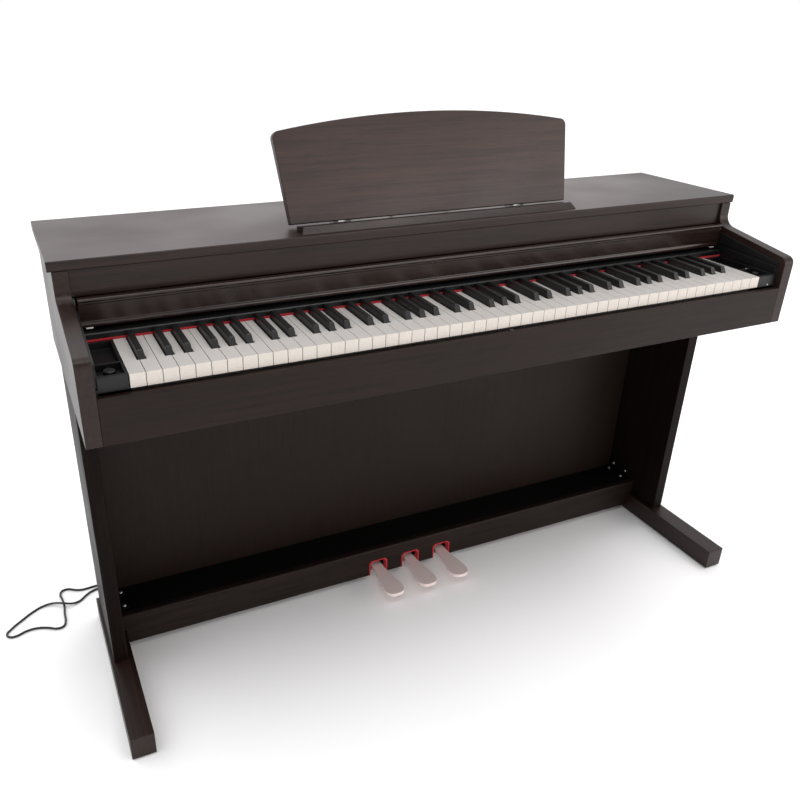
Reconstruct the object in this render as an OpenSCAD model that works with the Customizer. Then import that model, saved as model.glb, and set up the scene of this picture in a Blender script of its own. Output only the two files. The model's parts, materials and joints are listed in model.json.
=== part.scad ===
// Digital piano with a sliding key cover, on a two-leg stand with three pedals.
// Frame: +X is the player's right, +Y the rear, +Z up.
// Origin: the middle of the footprint, on the floor.

/* [Overall size] */
// Width over the two side panels
case_w = 1366; // [1345:1:1640]
// Depth from the front of the feet to the rear edge of the top board
overall_d = 466; // [388:1:560]
// Height to the upper face of the top board
overall_h = 834; // [695:1:1001]

/* [Case boards] */
// Height of the side panels
case_h = 206; // [196:1:240]
// Thickness of the side panels
panel_t = 24; // [18:1:30]
// Thickness of the top board
top_t = 16; // [12:1:22]
// Overhang of the top board past each side panel
top_lip = 6; // [2:1:12]
// Height of the side panel's front corner above its lower edge
nose_h = 133; // [126:1:140]
// Slope of the side panel's front shoulder, in degrees
shoulder_deg = 9.3; // [8:0.1:11]
// Thickness of the board along the front of the keys
slip_t = 11; // [8:1:14]
// Height of that board
slip_h = 74; // [60:1:77]
// Height of the fascia board under the top board
fascia_h = 42; // [34:1:43]
// Thickness of the fascia board
fascia_t = 12; // [9:1:16]
// Thickness of the bottom board under the keys
bed_t = 15; // [12:1:18]
// Thickness of the rear board of the case
case_back_t = 9; // [5:1:12]
// Thickness of the black plates inside the side panels
cheek_t = 4; // [4:0.5:6]

/* [Keyboard] */
// Spacing of the white keys
key_pitch = 23.5; // [22.5:0.1:23.8]
// Gap between neighbouring white keys
key_gap = 1; // [0.7:0.1:1.2]
// Height of the white key tops above the bottom of the case
key_level = 99; // [97:1:100]
// Height of a white key's front face
key_front_h = 21; // [18:1:22]
// Depth of a key's solid body
key_body_h = 12; // [10:1:13]
// Length of a white key that shows in front of the control strip
key_show = 143; // [138:1:150]
// Full length of a key, front to pivot
key_len = 228; // [215:1:240]
// Length of the wide front part of a white key
key_head = 47; // [44:1:52]
// Height of the black keys above the white ones
black_h = 12; // [10:0.5:12.5]
// Width of a black key at its foot
black_w = 11; // [9:0.5:11.5]

/* [Key cover] */
// Slope of the cover's track, in degrees
track_deg = 3; // [2:0.5:3]
// Travel of the cover along its track
cover_travel = 150; // [120:1:150]
// Height of the cover's front rail
rail_h = 47; // [40:1:47.5]
// Depth of the cover, front to rear
cover_d = 182; // [180:1:195]
// Thickness of the cover board
cover_t = 8; // [6:1:9]
// Radius of the cover's cross shaft
shaft_r = 4; // [3:0.5:5]

/* [Stand] */
// Thickness of the leg boards
leg_t = 26; // [20:1:32]
// Depth of the leg boards
leg_d = 200; // [170:1:215]
// Inset of the legs from the side panels' outer faces
leg_inset = 3; // [0:1:10]
// Width of the foot beams
foot_w = 42; // [36:1:52]
// Height of the foot beams, pads included
foot_h = 48; // [40:1:58]
// Length of the foot beams
foot_l = 400; // [395:1:440]
// Height of the pedal board
pedal_board_h = 68; // [62:1:80]
// Gap between the pedal board and the floor
pedal_board_z = 16; // [14:1:20]
// Thickness of the pedal board's front
pedal_board_t = 15; // [12:1:18]
// Thickness of the stand's back panel
back_t = 12; // [8:1:15]

/* [Pedals] */
// Spacing of the three pedals
pedal_pitch = 82; // [66:1:98]
// Widest part of a pedal
pedal_w = 44; // [34:1:47]
// Width of a pedal where it enters the board
pedal_neck_w = 24; // [23:1:29]
// Length of a pedal in front of the board
pedal_reach = 99; // [85:1:110]
// Thickness of a pedal's plate
pedal_t = 8; // [6:0.5:9]
// Radius of a pedal's hinge pin
pedal_pin_r = 3; // [2.5:0.5:3.5]

/* [Music rest] */
// Width of the rest along its lower edge
rest_w = 574; // [480:1:690]
// How far each upper corner stands out past the lower one
rest_flare = 15; // [0:1:30]
// Height of the rest at its corners
rest_corner_h = 153; // [120:1:165]
// Extra height of the arch in the middle
rest_arch = 25; // [5:1:40]
// Thickness of the rest
rest_t = 14; // [10:1:18]
// Lean of the rest from upright, in degrees
rest_lean = 17; // [12:1:25]

/* [Cord] */
// Diameter of the power lead
cord_d = 4.4; // [4:0.1:5]
// Radius at the middle of the coil's turns
coil_r = 25; // [23:0.5:26]

/* [Hidden] */
$fn = 48;

// Colours
wood = "#3a2e2b";
wood_dark = "#2b2422";
black = "#17181a";
ivory = "#f1eee6";
red_felt = "#b3202a";
steel = "#8d9094";
rose_brass = "#c9a79b";

// Main levels and planes
front_y = -overall_d / 2;
rear_y = overall_d / 2;
keys_y = front_y + 22;
case_z = overall_h - top_t - case_h;
case_top = case_z + case_h;
key_top = case_z + key_level;
key_under = key_top - key_body_h;
bed_top = case_z + bed_t;
panel_front = keys_y - slip_t - 1;
panel_rear = rear_y - 3;
inner_x = case_w / 2 - panel_t;
cheek_x = inner_x - cheek_t;
top_front = keys_y + key_show + 24;
upper_front = top_front - 1;
fascia_y = top_front + 4;
fascia_z = case_top - fascia_h;
strip_y = keys_y + key_show;
strip_z = key_top + 3.6;
clear = 0.4;

// Stand
leg_x = case_w / 2 - leg_inset;
leg_in = leg_x - leg_t;
leg_y = front_y + 194;
foot_x = leg_x + 6;
pad_h = 3;
board_y = keys_y + 252;
back_y = board_y + 93;
board_top = pedal_board_z + pedal_board_h;
shelf_t = 13;

// Pedals
notch_w = pedal_neck_w + 21;
notch_h = 38;
felt_t = 2.5;
pedal_z = pedal_board_z + 10;
pedal_pivot_y = board_y + 56;
pedal_pivot_z = pedal_z + pedal_t / 2;
pedal_boss_r = pedal_pin_r + 3.5;
pedal_arm_w = 22;
chassis_t = 2;
ear_t = 3;

// Keyboard
octave = 7 * key_pitch;
keys_left = -26 * key_pitch;
octave_zero = keys_left - 5 * key_pitch;
low_slot = 3 * key_pitch / 5;
high_slot = 4 * key_pitch / 7;
pivot_y = keys_y + key_len;
pivot_r = 2;
cap_end = strip_y - 1;

// Key cover, in the track's own frame: y along the track, z square to it
track_y = keys_y + 150;
track_z = key_top + 66;
rail_t = 10;
cover_x = cheek_x - 2;
guide_z = 6.3 - rail_h;
guide_r = 2.5;
cover_drop = 6;
tooth_module = 1.5;
pinion_teeth = 12;
pinion_r = tooth_module * pinion_teeth / 2;
tooth_top = 1.2;
tooth_root = 1.8;
tooth_pitch = PI * tooth_module;
backlash = 0.6;
shaft_y = rail_t + 158;
shaft_z = -cover_drop - cover_t - pinion_r - tooth_top - 1.3;
pitch_line = shaft_z - pinion_r;
rack_w = 11;

// Music rest, about its lower front edge
rest_y = top_front + 55;
rest_z = overall_h + 8;
rest_up = [sin(rest_lean), cos(rest_lean)];
rest_back = [cos(rest_lean), -sin(rest_lean)];
rest_pivot = [rest_y, rest_z] + 6 * rest_up + (rest_t + 4.5) * rest_back;
stay_up = 72;
stay_pivot = [rest_y, rest_z] + stay_up * rest_up + (rest_t + 5) * rest_back;
stay_foot = [stay_pivot[0] + 36, overall_h + 3.4];
hinge_x = 185;
knuckle_r = 3.5;
hinge_pin_r = 1.5;
stay_x = 60;

// Rear sockets
jack_z = case_z + 48;
dc_x = -560;
phone_x = [-525, -500];
socket_y = panel_rear + 2;

// Power lead: the lead leaves the plug, drops behind the case, makes a folded loop
// on the floor beside the left leg and comes back behind it
cord_r = cord_d / 2;
LEAD = [[-560, 260, 660], [-560, 271, 658.5], [-561, 283, 650], [-563, 291, 634],
        [-566, 295, 606], [-569, 296, 550], [-574, 294, 460], [-579, 291, 370],
        [-584, 288, 280], [-589, 285, 190], [-594, 282, 110], [-599, 279, 56],
        [-605, 276, 26], [-616, 272, 9], [-633, 268, 3], [-655, 266, 2.6],
        [-680, 267, 2.4], [-696, 266, 2.4], [-710, 266, 2.4], [-724, 272, 2.4],
        [-737, 280, 2.4], [-749, 278, 2.4], [-754, 267, 2.4], [-752, 250, 2.4],
        [-750, 228, 2.4], [-752, 198, 2.4], [-753, 172, 2.4], [-758, 160, 2.4],
        [-771, 158, 2.4], [-787, 167, 2.4], [-807, 175, 2.4], [-830, 175, 2.4],
        [-849, 168, 2.4], [-862, 169, 2.4], [-868, 180, 2.4], [-859, 193, 2.4],
        [-838, 212, 2.4], [-814, 231, 2.4], [-792, 242, 2.4], [-772, 241, 4.4],
        [-751, 229, 7.2], [-733, 224, 4.4], [-717, 229, 2.4], [-703, 242, 2.4],
        [-688, 252, 2.4], [-668, 256, 2.4], [-646, 252, 2.4], [-629, 240, 2.4],
        [-620.5, 219, 2.4]];
TAIL = [[-577, 187, 6.6], [-573, 187, 6.6], [-568, 187, 6.6]];
coil_at = [-590, 215];
adaptor_at = [-552, 187];

// ---- helpers ----

function unit(v) = v / norm(v);
function heading(v) = atan2(v[1], v[0]);
function wrap(a) = a > 180 ? a - 360 : (a < -180 ? a + 360 : a);

// Arc of radius r that rounds the corner b between the lines to a and c
function fillet(a, b, c, r, n = 8) =
    let (u = unit(a - b), v = unit(c - b), half = acos(u * v) / 2)
    let (m = b + unit(u + v) * r / sin(half))
    let (s = heading(b + u * r / tan(half) - m))
    let (e = wrap(heading(b + v * r / tan(half) - m) - s))
    [for (i = [0:n]) m + r * [cos(s + e * i / n), sin(s + e * i / n)]];

// A closed outline with every corner rounded to its own radius
function rounded(points, radii, n = 6) =
    let (k = len(points))
    [for (i = [0:k - 1])
        each (radii[i] == 0 ? [points[i]]
              : fillet(points[(i + k - 1) % k], points[i], points[(i + 1) % k], radii[i], n))];

module box(low, high) {
    translate(low) cube(high - low);
}

// Extrudes an outline drawn in (Y, Z) from x0 to x1
module across(x0, x1) {
    translate([x0, 0, 0]) rotate([90, 0, 90]) linear_extrude(x1 - x0) children();
}

// A rod along X
module rod(x0, x1, y, z, r) {
    translate([x0, y, z]) rotate([0, 90, 0]) cylinder(r = r, h = x1 - x0);
}

module both_sides() {
    children();
    mirror([1, 0, 0]) children();
}

// ---- case boards ----

// Height of the side panel's shoulder line at depth y
function shoulder_z(y, inset) =
    case_z + nose_h + (y - panel_front) * tan(shoulder_deg) - inset / cos(shoulder_deg);

// Front edge of the side panel, from its lower corner to its upper end
function panel_front_edge(inset, low, high) =
    let (f = panel_front + inset, u = upper_front + inset)
    let (nose = [f, shoulder_z(f, inset)], step = [u, shoulder_z(u, inset)])
    concat([[f, low]], fillet([f, low], nose, step, 15 - inset / 2),
           fillet(nose, step, [u, high], 24 + inset / 2), [[u, high]]);

module side_panel() {
    outline = concat(panel_front_edge(0, case_z, case_top),
                     [[panel_rear, case_top], [panel_rear, case_z]]);
    across(-case_w / 2, -inner_x) polygon(outline);
}

module side_panel_left() {
    color(wood) side_panel();
}

module side_panel_right() {
    color(wood) mirror([1, 0, 0]) side_panel();
}

// Height of the guide groove's middle at depth y
function groove_z(y) = track_z + guide_z / cos(track_deg) + (y - track_y) * tan(track_deg);

// The guide groove: a straight run on the track's slope that turns down at the front
module groove_outline() {
    w = guide_r + clear;
    bend_y = keys_y + 1;
    rear = track_y + 28;
    low = case_z + slip_h + 8;
    outer = [bend_y - w, groove_z(bend_y - w) + w];
    inner = [bend_y + w, groove_z(bend_y + w) - w];
    polygon(concat([[rear, groove_z(rear) + w]],
                   fillet([rear, groove_z(rear) + w], outer, [bend_y - w, low], 10),
                   [[bend_y - w, low], [bend_y + w, low]],
                   fillet([bend_y + w, low], inner, [rear, groove_z(rear) - w], 4),
                   [[rear, groove_z(rear) - w]]));
}

module cheek_plate() {
    inset = slip_t + 1;
    rear = track_y + 200;
    outline = concat(panel_front_edge(inset, bed_top, case_top),
                     [[rear, case_top], [rear, bed_top]]);
    difference() {
        across(-inner_x, -cheek_x) polygon(outline);
        across(-cheek_x - cheek_t + 1, -cheek_x + 1) groove_outline();
        box([-case_w, front_y, fascia_z], [0, rear_y, overall_h]);
    }
}

module cheek_plates() {
    color(black) both_sides() cheek_plate();
}

module top_board() {
    x = case_w / 2 + top_lip;
    corners = [[top_front, case_top], [rear_y, case_top], [rear_y, overall_h],
               [top_front, overall_h]];
    color(wood) across(-x, x) polygon(rounded(corners, [2, 1, 1, 3], 4));
}

module fascia_board() {
    color(wood_dark) box([-inner_x, fascia_y, fascia_z], [inner_x, fascia_y + fascia_t, case_top]);
}

module key_slip() {
    corners = [[panel_front, case_z], [panel_front + slip_t, case_z],
               [panel_front + slip_t, case_z + slip_h], [panel_front, case_z + slip_h]];
    color(wood) across(-inner_x, inner_x) polygon(rounded(corners, [0, 0, 0, 1.5], 4));
}

speaker_r = 52;
speaker_x = case_w / 2 - 233;
speaker_y = panel_rear - 100;

module key_bed() {
    color(wood_dark) difference() {
        box([-inner_x, panel_front + slip_t, case_z], [inner_x, panel_rear - case_back_t, bed_top]);
        for (s = [-1, 1])
            translate([s * speaker_x, speaker_y, case_z - 1]) cylinder(r = speaker_r, h = bed_t + 2);
    }
}

// Left and right edge of the gap in the rear board that the socket panel closes
socket_gap = [dc_x - 30, phone_x[1] + 30];

module case_back() {
    y = panel_rear - case_back_t;
    color(wood_dark) {
        box([-inner_x, y, case_z], [socket_gap[0], panel_rear, case_top]);
        box([socket_gap[1], y, case_z], [inner_x, panel_rear, case_top]);
    }
}

// ---- keyboard ----

// Left and right edge of each note's slot, from the octave's C, in semitone order
function slot(n) = n < 5 ? n * low_slot : 5 * low_slot + (n - 5) * high_slot;
function is_black(n) = len(search(n, [1, 3, 6, 8, 10])) > 0;
WHITE_INDEX = [0, 0, 1, 1, 2, 3, 3, 4, 4, 5, 5, 6];
function first_octave(n) = n >= 9 ? 0 : 1;
function last_octave(n) = n == 0 ? 8 : 7;

// One white key: its head is one pitch wide, its tail runs between the black keys
module white_key(x, tail_low, tail_high) {
    g = key_gap / 2;
    box([x + g, keys_y, key_under], [x + key_pitch - g, keys_y + key_head, key_top]);
    box([tail_low + g, keys_y + key_head, key_under], [tail_high - g, pivot_y, key_top]);
    box([x + g, keys_y, key_top - key_front_h], [x + key_pitch - g, keys_y + 3, key_under]);
}

// One black key: a tapered cap with a sloping front on a plain body
module black_key(x) {
    foot_z = key_top - 2;
    tip_z = key_top + black_h;
    start = keys_y + key_head + key_gap;
    w = black_w / 2;
    box([x - w + 0.5, start, key_under], [x + w - 0.5, pivot_y, foot_z]);
    intersection() {
        across(x - w, x + w)
            polygon([[start, foot_z], [cap_end, foot_z], [cap_end, tip_z],
                     [start + 9, tip_z], [start + 7, tip_z - 1]]);
        translate([x, cap_end, 0]) rotate([90, 0, 0]) linear_extrude(cap_end - start)
            polygon([[-w, foot_z], [w, foot_z], [w - 0.9, tip_z - 1.2], [w - 1.9, tip_z],
                     [1.9 - w, tip_z], [0.9 - w, tip_z - 1.2]]);
    }
}

// All the keys of one note, 0 for C to 11 for B
module keys_of(n) {
    for (o = [first_octave(n):last_octave(n)]) {
        start = octave_zero + o * octave;
        x = start + WHITE_INDEX[n] * key_pitch;
        lowest = n == 9 && o == 0;
        highest = n == 0 && o == 8;
        if (is_black(n))
            black_key(start + (slot(n) + slot(n + 1)) / 2);
        else
            white_key(x, lowest ? x : start + slot(n),
                      highest ? x + key_pitch : start + slot(n + 1));
    }
}

// The keys sit on a round rod; each has a half-round seat for it
module pivot_rod(r) {
    rod(keys_left, -keys_left, pivot_y - 2, key_under, r);
}

module white_keys(n) {
    color(ivory) difference() {
        keys_of(n);
        pivot_rod(pivot_r + 0.1);
    }
}

module black_keys(n) {
    color(black) difference() {
        keys_of(n);
        pivot_rod(pivot_r + 0.1);
    }
}

// Chassis: front stop rail, contact shelf and pivot rail on one tray
module key_chassis() {
    stop = key_under - 11;
    shelf = key_under - 23;
    pivot = key_under - clear;
    color(steel) {
        across(keys_left + 4, -keys_left - 4)
            polygon([[keys_y + 10, bed_top], [pivot_y + 10, bed_top],
                     [pivot_y + 10, bed_top + 30], [pivot_y + 2, pivot], [pivot_y - 6, pivot],
                     [pivot_y - 14, bed_top + 3], [keys_y + 134, bed_top + 3],
                     [keys_y + 134, shelf], [keys_y + 96, shelf], [keys_y + 96, bed_top + 3],
                     [keys_y + 30, bed_top + 3], [keys_y + 30, stop], [keys_y + 14, stop],
                     [keys_y + 14, bed_top + 8], [keys_y + 10, bed_top + 8]]);
        intersection() {
            pivot_rod(pivot_r);
            box([keys_left + 4, front_y, case_z], [-keys_left - 4, rear_y, case_top]);
        }
    }
}

// Contact board with one rubber dome under each white key's place
module contact_board() {
    low = key_under - 23;
    color("#2f5d3a") box([keys_left + 6, keys_y + 98, low],
                         [-keys_left - 6, keys_y + 132, low + 1.6]);
    color("#55585c") for (i = [0:25])
        box([keys_left + 2 * i * key_pitch + 10, keys_y + 108, low + 1.6],
            [keys_left + 2 * i * key_pitch + 37, keys_y + 122, low + 14]);
}

// Moulded block that fills the case beside the last key, with two open pockets
module key_block() {
    low = [-cheek_x, keys_y, key_top - key_front_h - 1];
    high = [keys_left - 1.3, strip_y - 1, key_top];
    wall = 3;
    floor_z = key_top - 12;
    difference() {
        box(low, high);
        box([low[0] + wall, keys_y + 9, floor_z], [high[0] - wall, keys_y + 50, high[2] + 1]);
        box([low[0] + wall, keys_y + 54, floor_z], [high[0] - wall, high[1] - 4, high[2] + 1]);
    }
}

control_x = (cheek_x - keys_left + 1.3) / 2;
control_y = keys_y + 29.5;
knob_stem_r = 3;
button_stem_r = 5;

module key_block_left() {
    color(black) difference() {
        key_block();
        translate([-control_x, control_y, case_z]) cylinder(r = knob_stem_r + clear, h = case_h);
    }
}

module key_block_right() {
    color(black) difference() {
        mirror([1, 0, 0]) key_block();
        translate([control_x, control_y, case_z]) cylinder(r = button_stem_r + clear, h = case_h);
    }
}

module volume_knob() {
    base = key_top - 12 + clear;
    color("#26272a") translate([-control_x, control_y, 0]) {
        translate([0, 0, base]) cylinder(r = 9, h = 9);
        translate([0, 0, base + 9]) cylinder(r1 = 9, r2 = 8, h = 1.2);
        translate([0, 0, base - 16]) cylinder(r = knob_stem_r, h = 16);
        translate([-0.6, 3, base + 10.2]) cube([1.2, 5, 0.5]);
    }
}

module power_button() {
    base = key_top - 9;
    color("#26272a") translate([control_x, control_y, 0]) {
        translate([0, 0, base]) cylinder(r = 6.5, h = 7);
        translate([0, 0, base + 7]) cylinder(r1 = 6.5, r2 = 5.7, h = 0.8);
        translate([0, 0, base - 16]) cylinder(r = button_stem_r, h = 16);
    }
}

module control_strip() {
    y = strip_y;
    color(black) across(-cheek_x, cheek_x)
        polygon([[y, strip_z], [y, strip_z + 8.2], [y + 1.6, strip_z + 9.8],
                 [y + 26, strip_z + 11.5], [y + 60, strip_z + 11.5], [y + 60, strip_z + 8.5],
                 [y + 26, strip_z + 8.5], [y + 8, strip_z]]);
}

module felt_strip() {
    color(red_felt) box([-cheek_x, strip_y - 0.6, key_top + clear], [cheek_x, strip_y + 8, strip_z]);
}

// ---- inside the case ----

module main_board() {
    low = [-150, panel_rear - 150, bed_top + 12];
    high = [150, panel_rear - 50, bed_top + 13.6];
    color("#20603a") box(low, high);
    color(steel) for (x = [-140, 140], y = [panel_rear - 142, panel_rear - 58])
        translate([x, y, bed_top]) cylinder(r = 3, h = 12);
    color(black) for (x = [-90, -20, 50])
        box([x, panel_rear - 120, high[2]], [x + 30, panel_rear - 95, high[2] + 3]);
    color(steel) for (i = [0:7])
        box([96 + 5 * i, panel_rear - 130, high[2]], [98 + 5 * i, panel_rear - 75, high[2] + 24]);
}

// Downward-firing loudspeaker: flange, paper cone, basket and magnet
module speaker() {
    rotate_extrude()
        polygon([[speaker_r - 4, 0], [speaker_r + 8, 0], [speaker_r + 8, 3], [speaker_r - 1, 4],
                 [30, 34], [33, 34], [33, 50], [0, 50], [0, 30], [20, 29]]);
}

module speakers() {
    color("#303236") for (s = [-1, 1])
        translate([s * speaker_x, speaker_y, bed_top]) speaker();
}

module jack_plate() {
    color(steel) difference() {
        box([socket_gap[0] - 10, panel_rear, case_z + 4],
            [socket_gap[1] + 10, socket_y, case_top - 4]);
        for (x = concat(phone_x, dc_x))
            translate([x, panel_rear - 1, jack_z]) rotate([-90, 0, 0])
                cylinder(r = socket_r + 0.05, h = 4);
    }
}

socket_r = 6;
phone_bore_r = 3.25;
dc_bore_r = 3.2;

// A socket: a box behind the plate with a round nose that fills the plate's hole
module socket(x, w, depth, bore_r, bore_l, pin_r) {
    difference() {
        union() {
            box([x - w / 2, panel_rear - depth, jack_z - w / 2],
                [x + w / 2, panel_rear, jack_z + w / 2]);
            translate([x, panel_rear - 1, jack_z]) rotate([-90, 0, 0])
                cylinder(r = socket_r, h = 3);
        }
        translate([x, socket_y - bore_l, jack_z]) rotate([-90, 0, 0])
            cylinder(r = bore_r, h = bore_l + 1);
    }
    if (pin_r > 0)
        translate([x, socket_y - bore_l - 1, jack_z]) rotate([-90, 0, 0])
            cylinder(r = pin_r, h = bore_l);
}

module phone_jacks() {
    color(black) for (x = phone_x) socket(x, 15, 26, phone_bore_r, 20, 0);
}

module dc_inlet() {
    color(black) socket(dc_x, 14, 14, dc_bore_r, 9.5, 0.9);
}

// ---- key cover ----

module on_track() {
    translate([0, track_y, track_z]) rotate([track_deg, 0, 0]) children();
}

module cover_rail() {
    low = -rail_h;
    color(wood) on_track() {
        across(-cover_x, cover_x)
            polygon(concat([[rail_t, low], [rail_t, 0]],
                           fillet([rail_t, 0], [0, 0], [0, low], 2.5, 5),
                           [[0, -5.5], [1.6, -6.3], [1.6, -8.2], [0, -9], [0.6, low + 12],
                            [1.8, low + 11.2], [1.8, low + 9.4], [0.4, low + 8.6]],
                           fillet([0.4, 0], [0.4, low], [rail_t, low], 4, 5)));
        for (s = [-1, 1])
            rod(s * (cover_x + 1.75) - 1.75, s * (cover_x + 1.75) + 1.75, 5, guide_z, guide_r);
    }
}

bearing_x = cover_x - 45;

module key_cover() {
    color(wood) on_track() difference() {
        union() {
            box([-cover_x, rail_t, -cover_drop - cover_t], [cover_x, cover_d, -cover_drop]);
            for (x = [-bearing_x, 0, bearing_x])
                box([x - 8, shaft_y - 9, shaft_z - 8],
                    [x + 8, shaft_y + 9, -cover_drop - cover_t]);
        }
        rod(-bearing_x - 20, bearing_x + 20, shaft_y, shaft_z, shaft_r + 0.05);
    }
}

// Half the width of a pinion tooth, as an angle, at radius r
function involute(r, base) = tan(acos(base / r)) - acos(base / r) * PI / 180;
function tooth_half(r) =
    let (base = pinion_r * cos(20))
    (90 / pinion_teeth - backlash / 2 / pinion_r * 180 / PI)
    + (involute(pinion_r, base) - involute(max(r, base), base)) * 180 / PI;

module pinion_outline() {
    root = pinion_r - tooth_root;
    radii = [root, pinion_r - 0.6, pinion_r, pinion_r + 0.6, pinion_r + tooth_top];
    polygon([for (i = [0:pinion_teeth - 1])
        let (mid = -90 + i * 360 / pinion_teeth)
        each concat([for (r = radii) r * [cos(mid - tooth_half(r)), sin(mid - tooth_half(r))]],
                    [for (k = [4:-1:0])
                        radii[k] * [cos(mid + tooth_half(radii[k])), sin(mid + tooth_half(radii[k]))]])]);
}

module cover_shaft() {
    x = cheek_x - rack_w + 0.5;
    color(steel) on_track() {
        rod(-x, x, shaft_y, shaft_z, shaft_r);
        for (s = [-1, 1])
            translate([0, shaft_y, shaft_z])
                across(s * (x + 4) - 4, s * (x + 4) + 4) pinion_outline();
    }
}

// One rack: teeth along the track under the pinion, on a bar fixed to the cheek plate
module rack() {
    half_top = tooth_pitch / 4 - backlash / 2 - tooth_top * tan(20);
    half_root = tooth_pitch / 4 - backlash / 2 + tooth_root * tan(20);
    span = floor(cover_travel / tooth_pitch) + 4;
    first = shaft_y + 2.5 * tooth_pitch;
    teeth = [for (i = [0:span])
        let (y = first - i * tooth_pitch)
        each [[y + half_root, pitch_line - tooth_root], [y + half_top, pitch_line + tooth_top],
              [y - half_top, pitch_line + tooth_top], [y - half_root, pitch_line - tooth_root]]];
    rear = first + 4;
    front = first - span * tooth_pitch - 3;
    base = pitch_line - tooth_root - 5;
    across(cheek_x - rack_w, cheek_x)
        polygon(concat([[rear, base], [rear, pitch_line - tooth_root]], teeth,
                       [[front, pitch_line - tooth_root], [front, base]]));
}

module cover_racks() {
    color("#d8d8d4") on_track() both_sides() rack();
}

// ---- music rest ----

module in_rest_frame() {
    translate([0, rest_y, rest_z]) rotate([-rest_lean, 0, 0]) children();
}

// The panel: straight foot, flared sides, arched top with round corners
module music_rest() {
    half = rest_w / 2;
    top = half + rest_flare;
    arch_r = (top * top + rest_arch * rest_arch) / (2 * rest_arch);
    sweep = asin((top - 12) / arch_r);
    arch = [for (i = [0:24])
        let (a = sweep * (1 - i / 12))
        [arch_r * sin(a), rest_corner_h + rest_arch - arch_r + arch_r * cos(a)]];
    corner = [top, rest_corner_h];
    right = fillet([half, 0], corner, arch[0], 12, 6);
    left = [for (i = [len(right) - 1:-1:0]) [-right[i][0], right[i][1]]];
    middle = [for (i = [1:23]) arch[i]];
    color(wood) in_rest_frame() translate([0, rest_t, 0]) rotate([90, 0, 0])
        linear_extrude(rest_t)
            polygon(concat([[-half, 0], [half, 0]], right, middle, left));
}

module music_ledge() {
    half = rest_w / 2 - 4;
    y = top_front + 11;
    outline = [[y, overall_h], [y + 27, overall_h], [y + 27, overall_h + 9],
               [y + 16, overall_h + 11], [y + 11, overall_h + 11]];
    color(wood) difference() {
        across(-half, half) polygon(outline);
        for (s = [-1, 1])
            translate([s * half, y, overall_h + 5]) rotate([0, 0, s * 30])
                translate([-10 + s * 10, -20, -6]) cube([20, 40, 20]);
    }
}

// Fixed half of each hinge: a foot, two ears and the pin
module rest_hinge(x) {
    y = rest_pivot[0];
    z = rest_pivot[1];
    box([x - 17.5, y - 4, overall_h], [x + 17.5, y + 12, overall_h + 2]);
    for (s = [-1, 1])
        translate([x + s * 12 - 5, 0, 0]) {
            rod(0, 10, y, z, knuckle_r);
            box([0, y - knuckle_r, overall_h + 2], [10, y + knuckle_r, z]);
        }
    rod(x - 8, x + 8, y, z, hinge_pin_r);
}

module rest_hinges() {
    color(steel) for (s = [-1, 1]) rest_hinge(s * hinge_x);
}

// Moving half of each hinge and the small ears that carry the stay
module rest_leaves() {
    color(steel) for (s = [-1, 1])
        difference() {
            union() {
                rod(s * hinge_x - 6.5, s * hinge_x + 6.5, rest_pivot[0], rest_pivot[1], knuckle_r);
                in_rest_frame()
                    box([s * hinge_x - 6.5, rest_t, 4], [s * hinge_x + 6.5, rest_t + 2, 34]);
                in_rest_frame()
                    box([s * hinge_x - 6.5, rest_t, 4], [s * hinge_x + 6.5, rest_t + 4.5, 8]);
            }
            rod(s * hinge_x - 8, s * hinge_x + 8, rest_pivot[0], rest_pivot[1], hinge_pin_r + 0.06);
        }
    color(steel) for (s = [-1, 1])
        difference() {
            in_rest_frame()
                box([s * (stay_x + 6) - 2, rest_t, stay_up - 6],
                    [s * (stay_x + 6) + 2, rest_t + 9, stay_up + 6]);
            rod(s * (stay_x + 6) - 4, s * (stay_x + 6) + 4, stay_pivot[0], stay_pivot[1], 2.06);
        }
}

// Stay: two flat arms with a cross pin in the ears and a rubber-tipped foot bar
module rest_stay() {
    along = stay_foot - stay_pivot;
    length = norm(along);
    tilt = heading(along);
    color(steel) {
        rod(-stay_x - 8, stay_x + 8, stay_pivot[0], stay_pivot[1], 2);
        rod(-stay_x - 3, stay_x + 3, stay_foot[0], stay_foot[1], 3);
        for (s = [-1, 1])
            translate([s * stay_x - 1.5, stay_pivot[0], stay_pivot[1]]) rotate([tilt, 0, 0])
                translate([0, 0, -3]) cube([3, length, 6]);
    }
}

// ---- stand ----

module leg() {
    corners = [[-leg_x, leg_y], [-leg_in, leg_y], [-leg_in, leg_y + leg_d], [-leg_x, leg_y + leg_d]];
    translate([0, 0, foot_h]) linear_extrude(case_z - foot_h)
        polygon(rounded(corners, [1.5, 1.5, 1.5, 1.5], 3));
}

module leg_left() {
    color(wood) leg();
}

module leg_right() {
    color(wood) mirror([1, 0, 0]) leg();
}

module foot_beam() {
    corners = [[front_y, pad_h], [front_y + foot_l, pad_h], [front_y + foot_l, foot_h],
               [front_y, foot_h]];
    across(-foot_x, -foot_x + foot_w) polygon(rounded(corners, [0, 0, 1.5, 1.5], 3));
}

module foot_left() {
    color(wood_dark) foot_beam();
}

module foot_right() {
    color(wood_dark) mirror([1, 0, 0]) foot_beam();
}

module foot_pads() {
    x = foot_x - foot_w / 2;
    color(black) for (s = [-1, 1], y = [front_y + 26, front_y + foot_l - 26])
        translate([s * x, y, 0]) cylinder(r = 14, h = pad_h);
}

// Room for the feet at the lower corners of a board that spans the legs
module foot_notches() {
    both_sides() box([-foot_x - 1, front_y - 1, -1], [foot_w - foot_x, rear_y, foot_h]);
}

module back_panel() {
    color(wood_dark) difference() {
        box([-leg_in, back_y, pedal_board_z], [leg_in, back_y + back_t, case_z]);
        foot_notches();
    }
}

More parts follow.
